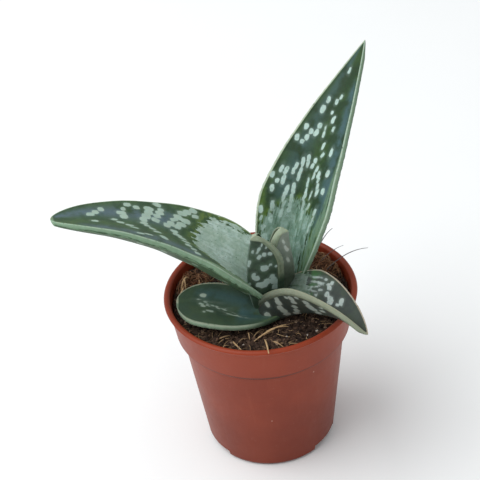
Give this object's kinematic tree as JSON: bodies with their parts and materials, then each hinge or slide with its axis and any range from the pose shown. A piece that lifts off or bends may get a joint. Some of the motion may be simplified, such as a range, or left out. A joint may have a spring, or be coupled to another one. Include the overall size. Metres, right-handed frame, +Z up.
{
  "type": "potted tiger aloe",
  "caption": "Young tiger aloe with keeled, white-spotted leaves in a small round plastic nursery pot of soil.",
  "frame": {"origin": "centre of the pot's flat underside", "axes": "+Z up along the pot's axis, -Y towards the picture's viewer, +X to the picture's right"},
  "size_m": [0.0898, 0.0608, 0.1105],
  "materials": {
    "pot_plastic": "satin terracotta-coloured polypropylene",
    "soil": "dark crumbly potting mix of peat and coir with straw-like fibres",
    "stem": "pale green fleshy stem, matt",
    "leaf": "dark green waxy skin with white oblong spots and a pale horny margin"
  },
  "bodies": {
    "root": {"pot": "pot_plastic", "soil": "soil", "stem": "stem", "leaf_long": "leaf", "leaf_tall": "leaf", "leaf_low_left": "leaf", "leaf_low_right": "leaf", "leaf_young_left": "leaf", "leaf_young_right": "leaf"}
  },
  "joints": []
}
